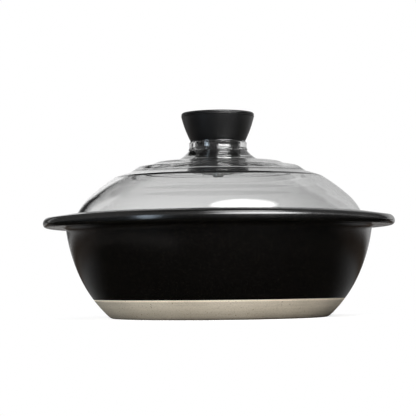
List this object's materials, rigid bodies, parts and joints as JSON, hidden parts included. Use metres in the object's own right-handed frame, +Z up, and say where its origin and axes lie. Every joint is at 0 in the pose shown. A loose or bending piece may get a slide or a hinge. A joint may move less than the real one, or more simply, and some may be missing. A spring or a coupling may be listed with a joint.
{
  "type": "donabe clay pot",
  "caption": "Round stoneware hot pot with a broad rim drawn out to handles, dark glaze over a bare clay foot, and a glass dome lid with a hollow neck and a conical knob.",
  "frame": {"origin": "centre of the foot, on the surface that the pot stands on", "axes": "+Z is up through the knob, X runs through the handles, Y from front to back; the picture looks along +Y"},
  "size_m": [0.314, 0.2884, 0.1841],
  "materials": {
    "clay": "bare fired stoneware, matte and fine grained",
    "glaze": "black glaze, satin to glossy, with fine pale specks",
    "lid_glass": "clear heat resistant glass",
    "silicone": "black silicone, matte",
    "steel": "plain stainless steel",
    "brass": "turned brass",
    "knob": "black heat resistant resin, finely textured"
  },
  "bodies": {
    "pot": {"pot_body": "clay", "glaze_coat": "glaze"},
    "lid": {"lid_glass": "lid_glass", "neck_stopper": "silicone", "stopper_washer": "steel", "knob_screw": "steel", "knob_insert": "brass", "knob_grip": "knob"}
  },
  "joints": [
    {"name": "lid_lift", "type": "slide", "parent": "pot", "child": "lid", "axis": [0, 0, 1], "range_m": [0, 0.12]}
  ]
}
